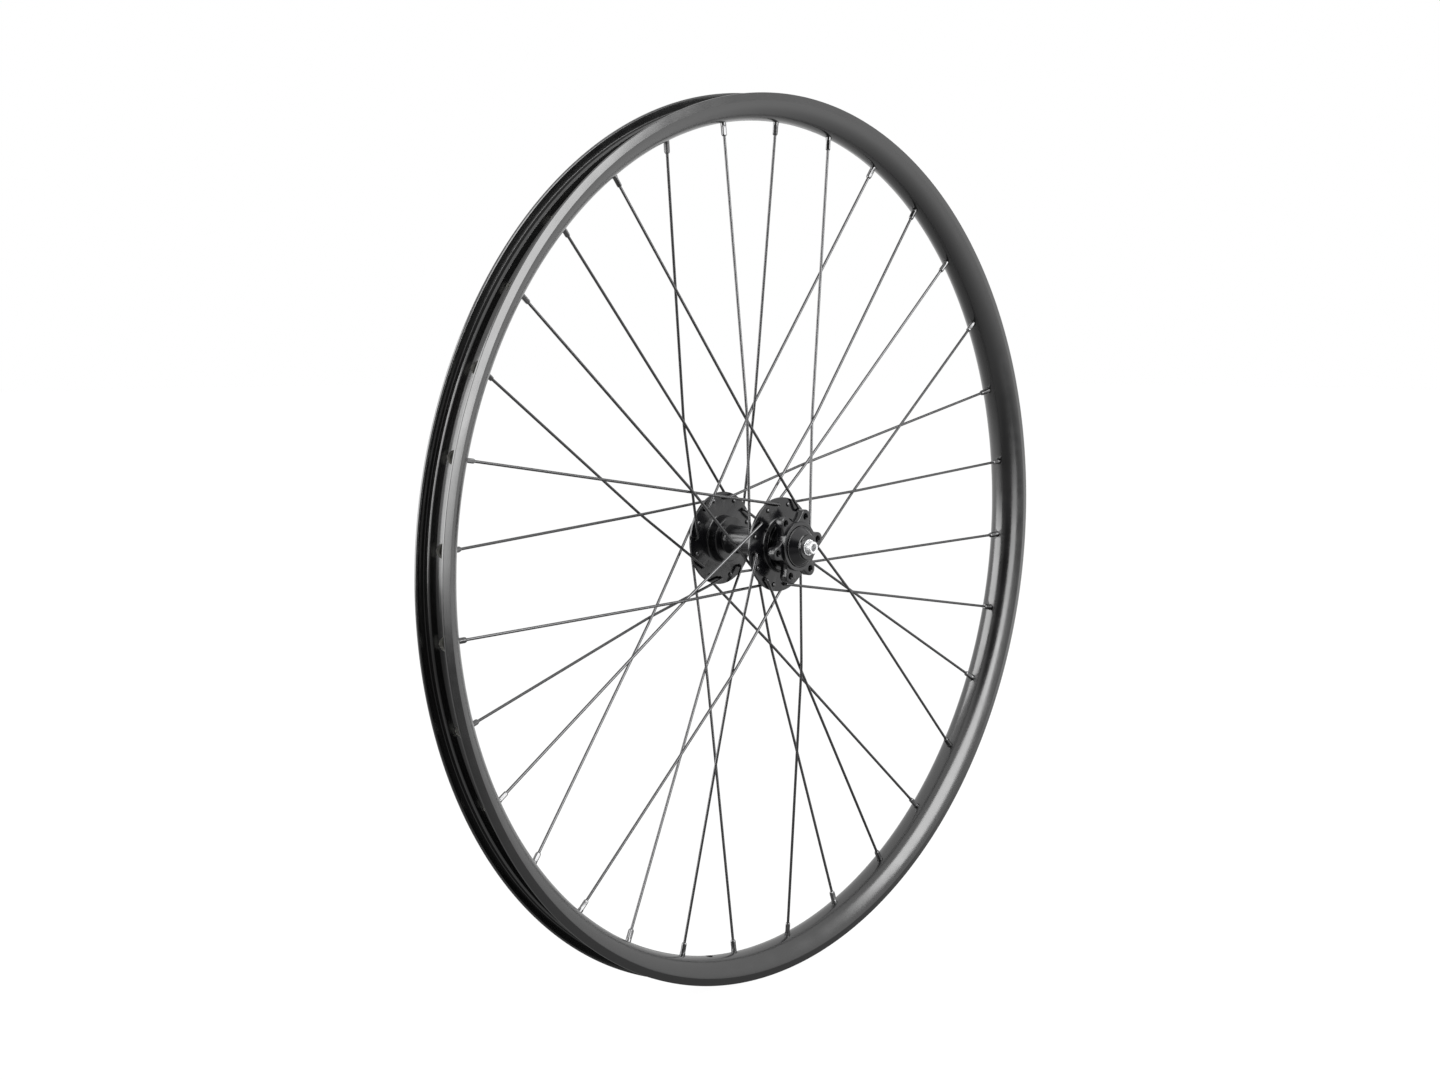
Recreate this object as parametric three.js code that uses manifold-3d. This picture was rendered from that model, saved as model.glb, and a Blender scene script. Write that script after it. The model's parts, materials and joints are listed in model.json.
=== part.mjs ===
// A 29 inch front bicycle wheel for a disc brake: a hollow double-wall rim, 32 spokes laced three-cross
// in interlaced pairs, and a quick-release hub on two cartridge bearings.
// Millimetres. The origin is the wheel's centre, +Y is the axle, +Z is up, and the brake side is -Y.
import * as THREE from "three";
import { mergeVertices } from "three/addons/utils/BufferGeometryUtils.js";
import Module from "manifold-3d";

const wasm = await Module();
wasm.setup();

// ---------------------------------------------------------------- driving dimensions
const GAP = 0.3; // between neighbouring pieces

const RIM_RADIUS = 317; // over the lips that hold the tyre
const RIM_HALF_WIDTH = 13.35;
const WELL_RADIUS = 305; // floor of the tyre well
const BED_RADIUS = 297.6; // lowest line of the spoke bed
const RIM_SEGMENTS = 64;
const ACCESS_HOLE_RADIUS = 4.25; // in the tyre well, over each nipple
const VALVE_HOLE_RADIUS = 3.25;

const SPOKE_COUNT = 32;
const SPOKE_PITCH = (2 * Math.PI) / SPOKE_COUNT;
const FIRST_SPOKE_ANGLE = THREE.MathUtils.degToRad(108.06);
const SPOKES_CROSSED = 3;
const SPOKE_RADIUS = 1.0;
const BED_STAGGER = 0.7; // each nipple sits this far towards its own flange
const NIPPLE_RADIUS = 2.0;
const NIPPLE_TIP = 9; // length seen below the spoke bed

const FLANGE_RADIUS = 33.5;
const SPOKE_CIRCLE_RADIUS = 29;
const FLANGE_HALF_THICKNESS = 1.5;
const BRAKE_FLANGE_Y = -22.4;
const PLAIN_FLANGE_Y = 32.9;
const ELBOW_OFFSET = 3.9; // from a flange's middle plane to the line of a spoke that leaves it

const ROTOR_FACE_Y = -39.6;
const ROTOR_BOSSES = 6;
const ROTOR_BOLT_CIRCLE_RADIUS = 22;
const ROTOR_BOLT_HOLE_RADIUS = 2.1; // tapping size of M5
const FIRST_BOSS_ANGLE = THREE.MathUtils.degToRad(128.2);

const DROPOUT_Y = 50; // half the distance between the fork ends
const AXLE_HALF_LENGTH = 54;
const AXLE_END_RADIUS = 4.5;
const AXLE_BORE_RADIUS = 2.6; // for the quick-release skewer

const BEARING_BORE_RADIUS = 5;
const BEARING_OUTER_RADIUS = 13;
const BEARING_START = 32; // inner face, from the wheel's middle plane
const BEARING_WIDTH = 8;
const BALL_COUNT = 7;
const BALL_RADIUS = 2.05;
const BALL_CIRCLE_RADIUS = 9;
const BALL_GROOVE_DEPTH = 0.55;

const HUB_SEGMENTS = 32;
const BEARING_SEGMENTS = 18;

// ---------------------------------------------------------------- materials
const finish = (color, roughness, metalness) =>
  new THREE.MeshStandardMaterial({ color, roughness, metalness });
const rimBlack = finish(0x1b1b1d, 0.42, 0.5);
const hubBlack = finish(0x131316, 0.22, 0.6);
const spokeBlack = finish(0x232325, 0.32, 0.8);
const bearingSteel = finish(0xb9bcc0, 0.2, 1);
const axleSilver = finish(0xd9dbdd, 0.25, 1);
const sealRubber = finish(0x18181a, 0.75, 0);

// ---------------------------------------------------------------- solids
// A closed geometry as a manifold-3d solid.
function solid(geometry) {
  const bare = geometry.clone();
  bare.deleteAttribute("normal");
  bare.deleteAttribute("uv");
  const merged = mergeVertices(bare, 1e-4);
  return new wasm.Manifold(
    new wasm.Mesh({
      numProp: 3,
      vertProperties: new Float32Array(merged.attributes.position.array),
      triVerts: new Uint32Array(merged.index.array),
    }),
  );
}

// A manifold-3d solid as a flat-shaded geometry.
function geometryOf(body) {
  const { vertProperties, triVerts } = body.getMesh();
  const indexed = new THREE.BufferGeometry()
    .setAttribute("position", new THREE.BufferAttribute(vertProperties, 3))
    .setIndex(new THREE.BufferAttribute(triVerts, 1));
  const geometry = indexed.toNonIndexed();
  geometry.computeVertexNormals();
  return geometry;
}

// A ring or a turned piece about Y. The outline lists [radius, y] anticlockwise and closes on itself.
function turned(outline, segments) {
  const points = outline.map(([r, y]) => new THREE.Vector2(r, y));
  points.push(points[0].clone());
  return new THREE.LatheGeometry(points, segments);
}

// Both halves of an outline that is symmetric about y = 0, from the half with y above 0, listed
// from the large radius round to the small one. Points on y = 0 are not repeated.
function mirrored(half) {
  const below = half
    .filter(([, y]) => y > 0)
    .map(([r, y]) => [r, -y])
    .reverse();
  return [...half, ...below];
}

// A straight round bar from one point along a direction, used as a drill.
function drill(from, direction, length, radius, sides) {
  const bar = new THREE.CylinderGeometry(radius, radius, length, sides);
  bar.translate(0, length / 2, 0);
  bar.applyQuaternion(
    new THREE.Quaternion().setFromUnitVectors(
      new THREE.Vector3(0, 1, 0),
      direction.clone().normalize(),
    ),
  );
  bar.translate(from.x, from.y, from.z);
  return solid(bar);
}

// A point at a radius and an angle from +X towards +Z, at height y along the axle.
const polar = (radius, angle, y) =>
  new THREE.Vector3(radius * Math.cos(angle), y, radius * Math.sin(angle));

function part(name, geometry, material) {
  const mesh = new THREE.Mesh(geometry, material);
  mesh.name = name;
  return mesh;
}

// ---------------------------------------------------------------- spokes
// Spokes come in groups of four: by turns on the plain and the brake flange, first the two that lead
// (their flange hole is ahead of their rim hole) and lie inside the flange, then the two that trail
// and lie outside it.
const spokeAngle = (index) => FIRST_SPOKE_ANGLE - index * SPOKE_PITCH;
const spokeKinds = [
  { flangeY: PLAIN_FLANGE_Y, lead: 1 },
  { flangeY: BRAKE_FLANGE_Y, lead: 1 },
  { flangeY: PLAIN_FLANGE_Y, lead: -1 },
  { flangeY: BRAKE_FLANGE_Y, lead: -1 },
];
const HOLE_LEAD = 2 * SPOKES_CROSSED * SPOKE_PITCH; // flange hole ahead of rim hole

// The last crossing is half a flange-hole pitch from the rim hole. It lies on the straight line from
// the flange hole to the rim hole, so its radius follows from the two ends.
const CROSSING_ANGLE = SPOKE_PITCH;
const CROSSING_RADIUS =
  (SPOKE_CIRCLE_RADIUS * BED_RADIUS * Math.sin(HOLE_LEAD)) /
  (SPOKE_CIRCLE_RADIUS * Math.sin(HOLE_LEAD - CROSSING_ANGLE) +
    BED_RADIUS * Math.sin(CROSSING_ANGLE));

// Where the two spokes of a pair would pass each other if neither were bent, and how far each bends.
function crossingY({ flangeY, lead }) {
  const side = Math.sign(flangeY);
  const share = (BED_RADIUS - CROSSING_RADIUS) / (BED_RADIUS - SPOKE_CIRCLE_RADIUS);
  const middle = side * (Math.abs(flangeY) * share + BED_STAGGER * (1 - share));
  const apart = SPOKE_RADIUS + GAP / 2;
  return middle + side * lead * apart; // the trailing, outer spoke passes under the leading one
}

// A line through given stations, so that a sweep has its steps where the spoke bends.
class StationLine extends THREE.Curve {
  constructor(stations) {
    super();
    this.stations = stations;
  }
  getPoint(t) {
    const last = this.stations.length - 1;
    const at = Math.min(Math.floor(t * last + 1e-6), last - 1);
    return this.stations[at].clone().lerp(this.stations[at + 1], t * last - at);
  }
  getPointAt(u) {
    return this.getPoint(u);
  }
  getTangentAt(u) {
    const last = this.stations.length - 1;
    const at = Math.round(u * last);
    const before = this.stations[Math.max(at - 1, 0)];
    const after = this.stations[Math.min(at + 1, last)];
    return after.clone().sub(before).normalize();
  }
}

// A rim hole, and the way its spoke and nipple point through it, for a spoke at angle 0.
function rimEnd(kind) {
  const crossing = polar(CROSSING_RADIUS, kind.lead * CROSSING_ANGLE, crossingY(kind));
  const seat = polar(BED_RADIUS, 0, Math.sign(kind.flangeY) * BED_STAGGER);
  return { crossing, seat, aim: seat.clone().sub(crossing).normalize() };
}

// One spoke of a kind, at angle 0: a round head on one face of the flange, a shank through it, an
// elbow on the other face, a straight run with a slight bend where it is woven, and its nipple.
function spoke(kind) {
  const { crossing, seat, aim } = rimEnd(kind);
  const outward = Math.sign(kind.flangeY) * -kind.lead; // the side that the spoke leaves on
  const elbowY = kind.flangeY + outward * ELBOW_OFFSET;
  const elbow = polar(SPOKE_CIRCLE_RADIUS, kind.lead * HOLE_LEAD, elbowY);
  const shank = new THREE.Vector3(0, outward, 0);
  const run = crossing.clone().sub(elbow).normalize();
  const bend = 2.2;
  const headFace = FLANGE_HALF_THICKNESS + GAP;
  const under = elbow.clone().addScaledVector(shank, -ELBOW_OFFSET - headFace - 0.4);
  const stations = [under];
  const bendSteps = 2;
  for (let i = 0; i <= bendSteps; i += 1) {
    const t = i / bendSteps;
    stations.push(
      new THREE.QuadraticBezierCurve3(
        elbow.clone().addScaledVector(shank, -bend),
        elbow,
        elbow.clone().addScaledVector(run, bend),
      ).getPoint(t),
    );
  }
  const weave = 5;
  stations.push(crossing.clone().addScaledVector(run, -weave));
  stations.push(crossing.clone().addScaledVector(aim, weave));
  stations.push(seat.clone().addScaledVector(aim, -NIPPLE_TIP / 2));

  const section = new THREE.Shape().absarc(0, 0, SPOKE_RADIUS, 0, 2 * Math.PI);
  const wire = new THREE.ExtrudeGeometry(section, {
    steps: stations.length - 1,
    curveSegments: 3,
    bevelEnabled: false,
    extrudePath: new StationLine(stations),
  });

  const head = turned([[0, 0], [1.8, 0], [1.6, 0.7], [0, 1.0]], 6);
  head.applyMatrix4(new THREE.Matrix4().makeRotationX(outward > 0 ? Math.PI : 0));
  const headAt = elbow.clone().addScaledVector(shank, -ELBOW_OFFSET - headFace);
  head.translate(headAt.x, headAt.y, headAt.z);

  const bedThickness = 2.5;
  const nippleHead = bedThickness + GAP;
  const nipple = turned(
    [
      [0, -NIPPLE_TIP],
      [1.5, -NIPPLE_TIP],
      [NIPPLE_RADIUS, -NIPPLE_TIP + 1.2],
      [NIPPLE_RADIUS, nippleHead],
      [2.8, nippleHead],
      [0, nippleHead + 1.7],
    ],
    6,
  );
  nipple.applyQuaternion(
    new THREE.Quaternion().setFromUnitVectors(new THREE.Vector3(0, 1, 0), aim),
  );
  nipple.translate(seat.x, seat.y, seat.z);
  return geometryOf(solid(wire).add(solid(head)).add(solid(nipple)));
}

const spokes = new THREE.Group();
const spokeGeometries = spokeKinds.map(spoke);
for (let i = 0; i < SPOKE_COUNT; i += 1) {
  const number = String(i + 1).padStart(2, "0");
  const mesh = part(`spoke_${number}`, spokeGeometries[i % spokeKinds.length], spokeBlack);
  mesh.rotation.y = -spokeAngle(i);
  spokes.add(mesh);
}

// ---------------------------------------------------------------- rim
// The extrusion's outline, half of it: well floor, channel wall, hump, bead seat, hooked lip,
// side wall that curves in to the spoke bed.
function rimOutline() {
  const outline = new THREE.Path();
  outline.moveTo(WELL_RADIUS, 0);
  outline.lineTo(WELL_RADIUS, 3.9);
  outline.lineTo(311.3, 5.6);
  outline.lineTo(310.6, 7.0);
  outline.lineTo(310.9, 11.0);
  outline.lineTo(RIM_RADIUS, 11.7);
  outline.lineTo(RIM_RADIUS, 12.8);
  outline.lineTo(312, RIM_HALF_WIDTH);
  outline.bezierCurveTo(304.5, 13.0, 299.9, 9.4, 298.7, 4.8);
  outline.lineTo(BED_RADIUS, 0);
  return mirrored(outline.getPoints(3).map(({ x, y }) => [x, y]));
}

function rim() {
  const cavity = mirrored([
    [303.6, 4.5],
    [309.4, 6.6],
    [309.4, 11.7],
    [303.2, 10.0],
    [300.2, 3.4],
  ]);
  const drills = [];
  for (let i = 0; i < SPOKE_COUNT; i += 1) {
    const { seat, aim } = rimEnd(spokeKinds[i % spokeKinds.length]);
    const turn = new THREE.Vector3(0, 1, 0);
    seat.applyAxisAngle(turn, -spokeAngle(i));
    aim.applyAxisAngle(turn, -spokeAngle(i));
    const nippleHole = NIPPLE_RADIUS + GAP + 0.1;
    drills.push(drill(seat.clone().addScaledVector(aim, -3), aim, 6.5, nippleHole, 6));
    const out = polar(1, spokeAngle(i), 0);
    drills.push(drill(polar(303, spokeAngle(i), 0), out, 10, ACCESS_HOLE_RADIUS, 8));
  }
  const valveAngle = spokeAngle(SPOKE_COUNT / 2 + 2.5);
  const valveDrill = polar(BED_RADIUS - 4, valveAngle, 0);
  drills.push(drill(valveDrill, polar(1, valveAngle, 0), 20, VALVE_HOLE_RADIUS, 8));
  // Each hole is centred on one facet of the ring.
  const phase = Math.PI / RIM_SEGMENTS - FIRST_SPOKE_ANGLE;
  const ring = solid(turned(rimOutline(), RIM_SEGMENTS).rotateY(phase));
  const hollow = ring.subtract(solid(turned(cavity, RIM_SEGMENTS).rotateY(phase)));
  return geometryOf(hollow.subtract(wasm.Manifold.union(drills)));
}

// ---------------------------------------------------------------- hub shell
// One turned and milled piece: flange, shoulder, neck and rotor mount on the brake side, waisted
// barrel, stepped collar, flange and bearing housing on the plain side.
function hubShell() {
  const brake = BRAKE_FLANGE_Y;
  const plain = PLAIN_FLANGE_Y;
  const t = FLANGE_HALF_THICKNESS;
  const outline = new THREE.Path();
  outline.moveTo(14.9, -41.6);
  outline.lineTo(17.2, -41.6);
  outline.lineTo(17.47, -41.2);
  outline.lineTo(17.47, ROTOR_FACE_Y + 5.5);
  outline.lineTo(15.6, -33.4);
  outline.lineTo(15.6, -27.0);
  outline.lineTo(19.0, -27.4);
  outline.quadraticCurveTo(19.4, -24.2, 25, brake - t);
  outline.lineTo(FLANGE_RADIUS, brake - 0.9);
  outline.lineTo(FLANGE_RADIUS, brake + 0.9);
  outline.lineTo(25, brake + t);
  outline.quadraticCurveTo(13, brake + 2.4, 11.6, -10);
  outline.bezierCurveTo(9.4, 0, 9.4, 8, 10.4, 22.8);
  outline.lineTo(16.2, 23.2);
  outline.lineTo(16.6, 28.4);
  outline.quadraticCurveTo(18.4, 31.2, 25, plain - t);
  outline.lineTo(FLANGE_RADIUS, plain - 0.9);
  outline.lineTo(FLANGE_RADIUS, plain + 0.9);
  outline.lineTo(25, plain + t);
  outline.quadraticCurveTo(17.4, 35.4, 16.8, 41.0);
  outline.lineTo(16.3, 41.6);
  outline.lineTo(14.9, 41.6);
  const seat = BEARING_OUTER_RADIUS + 0.1;
  const stop = BEARING_START - 0.2;
  const bore = [
    [14.9, 40.4],
    [seat, 40.4],
    [seat, stop],
    [11.6, stop],
    [7.4, 26],
    [7.4, -26],
    [11.6, -stop],
    [seat, -stop],
    [seat, -40.4],
    [14.9, -40.4],
  ];
  const shell = [...outline.getPoints(3).map(({ x, y }) => [x, y]), ...bore];

  // Each rotor boss is a tongue with a round end about its bolt hole.
  const tongue = new THREE.Shape();
  const bossHalfWidth = 4.9;
  tongue.moveTo(14.2, -bossHalfWidth - 0.6);
  tongue.lineTo(ROTOR_BOLT_CIRCLE_RADIUS, -bossHalfWidth);
  tongue.absarc(ROTOR_BOLT_CIRCLE_RADIUS, 0, bossHalfWidth, -Math.PI / 2, Math.PI / 2);
  tongue.lineTo(14.2, bossHalfWidth + 0.6);
  const bolt = new THREE.Path();
  bolt.absarc(ROTOR_BOLT_CIRCLE_RADIUS, 0, ROTOR_BOLT_HOLE_RADIUS, 0, 2 * Math.PI);
  tongue.holes.push(bolt);
  const boss = new THREE.ExtrudeGeometry(tongue, {
    depth: 6.2,
    curveSegments: 4,
    bevelEnabled: false,
  });
  boss.rotateX(-Math.PI / 2); // the tongue's depth runs along +Y, away from the rotor
  boss.translate(0, ROTOR_FACE_Y, 0);

  let body = solid(turned(shell, HUB_SEGMENTS));
  for (let i = 0; i < ROTOR_BOSSES; i += 1) {
    const angle = FIRST_BOSS_ANGLE - (i * 2 * Math.PI) / ROTOR_BOSSES;
    body = body.add(solid(boss.clone().rotateY(-angle)));
  }
  const seatBore = new THREE.CylinderGeometry(seat, seat, 9, HUB_SEGMENTS);
  seatBore.translate(0, -BEARING_START - 4.5, 0);
  body = body.subtract(solid(seatBore));
  const drills = [];
  for (let i = 0; i < SPOKE_COUNT; i += 1) {
    const { flangeY, lead } = spokeKinds[i % spokeKinds.length];
    const at = polar(SPOKE_CIRCLE_RADIUS, spokeAngle(i) + lead * HOLE_LEAD, flangeY - 4);
    const along = new THREE.Vector3(0, 1, 0);
    drills.push(drill(at, along, 8, SPOKE_RADIUS + GAP + 0.05, 6));
  }
  return geometryOf(body.subtract(wasm.Manifold.union(drills)));
}

// ---------------------------------------------------------------- axle and bearings
function axle() {
  const shoulder = BEARING_START - GAP;
  const seat = BEARING_BORE_RADIUS - 0.1;
  const chamfer = 0.5;
  const half = [
    [6.3, shoulder],
    [seat, shoulder],
    [seat, 44.6],
    [AXLE_END_RADIUS, 45],
    [AXLE_END_RADIUS, AXLE_HALF_LENGTH - chamfer],
    [AXLE_END_RADIUS - chamfer, AXLE_HALF_LENGTH],
    [AXLE_BORE_RADIUS, AXLE_HALF_LENGTH],
  ];
  return turned(mirrored(half), BEARING_SEGMENTS);
}

// A race: a plain round face, and a grooved one that the balls run in. The inner race has its groove
// on the outside and the outer race has it on the inside.
function race(plainRadius, grooveRadius, grooveDepth) {
  const low = BEARING_START;
  const high = BEARING_START + BEARING_WIDTH;
  const middle = (low + high) / 2;
  const isInner = plainRadius < grooveRadius;
  const groove = [grooveRadius + (isInner ? -grooveDepth : grooveDepth), middle];
  const outline = isInner
    ? [[plainRadius, low], [grooveRadius, low], groove, [grooveRadius, high], [plainRadius, high]]
    : [[grooveRadius, low], [plainRadius, low], [plainRadius, high], [grooveRadius, high], groove];
  return turned(outline, BEARING_SEGMENTS);
}

// The balls in their pressed cage.
function ballCage() {
  const middle = BEARING_START + BEARING_WIDTH / 2;
  const ring = turned(
    [
      [BALL_CIRCLE_RADIUS - 0.7, middle - 1.2],
      [BALL_CIRCLE_RADIUS + 0.7, middle - 1.2],
      [BALL_CIRCLE_RADIUS + 0.7, middle + 1.2],
      [BALL_CIRCLE_RADIUS - 0.7, middle + 1.2],
    ],
    BALL_COUNT,
  );
  let cage = solid(ring);
  for (let i = 0; i < BALL_COUNT; i += 1) {
    const ball = new THREE.SphereGeometry(BALL_RADIUS, 6, 4);
    ball.rotateX(Math.PI / 2);
    const at = polar(BALL_CIRCLE_RADIUS, (i * 2 * Math.PI) / BALL_COUNT, middle);
    ball.translate(at.x, at.y, at.z);
    cage = cage.add(solid(ball));
  }
  return geometryOf(cage);
}

function bearingSeal(y) {
  return turned([[7.7, y], [10.9, y], [10.9, y + 0.5], [7.7, y + 0.5]], BEARING_SEGMENTS);
}

// The black cap that spaces the bearing from the fork end and covers the bearing with its flare.
function endCap() {
  return turned(
    [
      [BEARING_BORE_RADIUS + 0.1, 40.2],
      [6.9, 40.2],
      [6.9, 41.2],
      [14.1, 41.2],
      [14.4, 42.1],
      [11.6, 43.6],
      [10.0, 46.2],
      [9.9, 49.0],
      [9.6, 49.3],
      [6.1, 49.3],
      [6.1, 48.3],
      [BEARING_BORE_RADIUS + 0.1, 48.3],
    ],
    24,
  );
}

// The hard ring whose face bites the fork end.
function faceRing() {
  return turned([[4.75, 48.6], [5.8, 48.6], [5.8, DROPOUT_Y], [4.75, DROPOUT_Y]], BEARING_SEGMENTS);
}

// ---------------------------------------------------------------- assembly
const wheel = new THREE.Group();
wheel.add(part("rim", rim(), rimBlack), part("hub_shell", hubShell(), hubBlack));
wheel.add(part("axle", axle(), axleSilver), spokes);

const sideNames = ["plain", "brake"];
sideNames.forEach((side, i) => {
  const end = new THREE.Group();
  end.rotation.x = i * Math.PI;
  const outer = race(BEARING_OUTER_RADIUS, 11.2, BALL_GROOVE_DEPTH);
  const inner = race(BEARING_BORE_RADIUS, 6.8, BALL_GROOVE_DEPTH);
  end.add(
    part(`bearing_outer_race_${side}_side`, outer, bearingSteel),
    part(`bearing_inner_race_${side}_side`, inner, bearingSteel),
    part(`bearing_balls_and_cage_${side}_side`, ballCage(), bearingSteel),
    part(`bearing_inboard_seal_${side}_side`, bearingSeal(BEARING_START + 0.2), sealRubber),
    part(`bearing_outboard_seal_${side}_side`, bearingSeal(39.3), sealRubber),
    part(`end_cap_${side}_side`, endCap(), hubBlack),
    part(`fork_face_ring_${side}_side`, faceRing(), axleSilver),
  );
  wheel.add(end);
});

export default wheel;
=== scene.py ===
import json
import math

import bmesh
import bpy
from mathutils import Matrix, Vector, geometry

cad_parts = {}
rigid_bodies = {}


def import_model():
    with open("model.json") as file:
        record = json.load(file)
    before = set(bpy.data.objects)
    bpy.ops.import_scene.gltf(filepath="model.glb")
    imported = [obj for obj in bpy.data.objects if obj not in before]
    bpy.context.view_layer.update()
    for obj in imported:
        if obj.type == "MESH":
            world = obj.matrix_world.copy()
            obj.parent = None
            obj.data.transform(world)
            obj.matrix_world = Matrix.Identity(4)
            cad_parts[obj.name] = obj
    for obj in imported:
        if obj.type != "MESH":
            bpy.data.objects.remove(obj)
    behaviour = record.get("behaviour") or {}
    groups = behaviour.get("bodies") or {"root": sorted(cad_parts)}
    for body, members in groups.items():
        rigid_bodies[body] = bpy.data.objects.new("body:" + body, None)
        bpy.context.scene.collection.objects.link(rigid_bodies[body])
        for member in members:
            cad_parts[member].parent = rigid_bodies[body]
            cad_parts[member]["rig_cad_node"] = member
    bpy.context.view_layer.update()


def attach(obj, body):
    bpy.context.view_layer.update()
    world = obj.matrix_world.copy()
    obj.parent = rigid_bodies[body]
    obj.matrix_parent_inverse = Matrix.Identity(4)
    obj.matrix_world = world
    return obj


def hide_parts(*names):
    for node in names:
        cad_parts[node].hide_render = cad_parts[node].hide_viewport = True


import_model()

# ---------------------------------------------------------------- studio
# A white room with a pale floor just under the rim. A large soft box stands in front of the brake side with
# a small one low beside it, and another large one hangs behind. The side that the wheel is looked at from
# is left dark, so that the black stays deep.
scene = bpy.context.scene
scene.view_settings.view_transform = "Standard"

viewer = Vector((-1.5089, -1.2889, 0.2560))
camera = bpy.data.objects.new("camera", bpy.data.cameras.new("camera"))
camera.location = viewer
camera.rotation_euler = viewer.to_track_quat("Z", "Y").to_euler()
camera.data.sensor_width = 36
camera.data.lens = 69.97
camera.data.shift_x = -0.0247
camera.data.shift_y = 0.0011
camera.data.clip_start = 0.05
camera.data.clip_end = 60
scene.collection.objects.link(camera)
scene.camera = camera


def put(tree, kind, feeds, **settings):
    """One node, with each of its inputs fed by a socket or set to a plain value."""
    step = tree.nodes.new(kind)
    for setting, value in settings.items():
        setattr(step, setting, value)
    for label, feed in feeds.items():
        if isinstance(feed, bpy.types.NodeSocket):
            tree.links.new(feed, step.inputs[label])
        else:
            step.inputs[label].default_value = feed
    return step.outputs


def mapped(tree, value, start, end, low, high, blend="LINEAR"):
    """A value between start and end, carried over to between low and high."""
    reach = {"Value": value, "From Min": start, "From Max": end, "To Min": low, "To Max": high}
    return put(tree, "ShaderNodeMapRange", reach, interpolation_type=blend)["Result"]


def finish_of(name, colour, roughness, metallic):
    """A material with its plain values set; its grain is added by the section that owns it."""
    material = bpy.data.materials.new(name)
    material.use_nodes = True
    surface = material.node_tree.nodes["Principled BSDF"]
    surface.inputs["Base Color"].default_value = (*colour, 1)
    surface.inputs["Roughness"].default_value = roughness
    surface.inputs["Metallic"].default_value = metallic
    return material, material.node_tree, surface


room = bpy.data.worlds.new("room")
room.use_nodes = True
scene.world = room
sky = room.node_tree
sky.nodes.clear()
around = put(sky, "ShaderNodeTexCoord", {})["Generated"]
facing = put(
    sky,
    "ShaderNodeVectorMath",
    {0: around, 1: viewer.normalized()},
    operation="DOT_PRODUCT",
)["Value"]
viewer_dark = mapped(sky, facing, 0.72, 0.95, 1.0, 0.04, "SMOOTHSTEP")
height = put(sky, "ShaderNodeSeparateXYZ", {"Vector": around})["Z"]
low_dim = mapped(sky, height, -0.3, 0.0, 0.5, 1.0, "SMOOTHSTEP")
glow = put(sky, "ShaderNodeMath", {0: viewer_dark, 1: low_dim}, operation="MULTIPLY")[0]
room_lit = put(sky, "ShaderNodeBackground", {"Color": (0.8, 0.8, 0.8, 1), "Strength": glow})[0]
room_seen = put(sky, "ShaderNodeBackground", {"Color": (1, 1, 1, 1), "Strength": 1.0})[0]
straight_on = put(sky, "ShaderNodeLightPath", {})["Is Camera Ray"]
either = put(sky, "ShaderNodeMixShader", {"Fac": straight_on, 1: room_lit, 2: room_seen})[0]
put(sky, "ShaderNodeOutputWorld", {"Surface": either})

for title, place, aim, width, height, watts in (
    ("soft_box_front", (0.3, -1.35, 0.85), (0.3, 0, 0.85), 1.25, 1.4, 24),
    ("soft_box_low", (-0.1, -1.3, 0.0), (-0.1, 0, 0.0), 0.7, 0.4, 2.6),
    ("soft_box_behind", (-1.45, 1.15, 0.55), (0, 0, 0.2), 1.8, 1.6, 32),
):
    box = bpy.data.lights.new(title, "AREA")
    box.shape = "RECTANGLE"
    box.size = width
    box.size_y = height
    box.energy = watts
    stand = bpy.data.objects.new(title, box)
    stand.location = place
    stand.rotation_euler = (Vector(place) - Vector(aim)).to_track_quat("Z", "Y").to_euler()
    scene.collection.objects.link(stand)

FLOOR_HEIGHT = -0.3174
FLOOR_RADIUS = 6
FLOOR_SIDES = 48
floor_mesh = bpy.data.meshes.new("floor")
floor_edge = [
    (
        FLOOR_RADIUS * math.cos(side * math.tau / FLOOR_SIDES),
        FLOOR_RADIUS * math.sin(side * math.tau / FLOOR_SIDES),
        FLOOR_HEIGHT,
    )
    for side in range(FLOOR_SIDES)
]
floor_mesh.from_pydata(floor_edge, [], [list(range(FLOOR_SIDES))])
floor = bpy.data.objects.new("floor", floor_mesh)
scene.collection.objects.link(floor)

# The floor glows evenly white to the camera. What the wheel reflects of it glows less: a painted shadow close
# round the wheel and painted shade towards the viewer.
floor_paint, tree, surface = finish_of("floor_paint", (0.05, 0.05, 0.05), 0.9, 0.0)
surface.inputs["Specular IOR Level"].default_value = 0.0
surface.inputs["Emission Color"].default_value = (1, 1, 1, 1)
spot = put(tree, "ShaderNodeTexCoord", {})["Object"]
outwards = put(tree, "ShaderNodeVectorMath", {0: spot}, operation="LENGTH")["Value"]
# Painted shadow: the glow that the wheel reflects is dimmed close round the wheel.
painted_shadow_by_wheel = mapped(tree, outwards, 0.35, 1.4, 0.2, 0.95)
to_viewer = put(
    tree,
    "ShaderNodeVectorMath",
    {0: spot, 1: (viewer.x, viewer.y, 0)},
    operation="DOT_PRODUCT",
)["Value"]
# Painted shade: that glow is dimmed further on the viewer's side.
unlit = mapped(tree, to_viewer, 0.3, 1.2, 1.0, 0.12, "SMOOTHSTEP")
shaded = put(tree, "ShaderNodeMath", {0: painted_shadow_by_wheel, 1: unlit}, operation="MULTIPLY")[0]
seen_straight = put(tree, "ShaderNodeLightPath", {})["Is Camera Ray"]
lit = put(tree, "ShaderNodeMix", {"Factor": seen_straight, "A": shaded, "B": 0.98})["Result"]
tree.links.new(lit, surface.inputs["Emission Strength"])
floor_mesh.materials.append(floor_paint)

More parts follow.
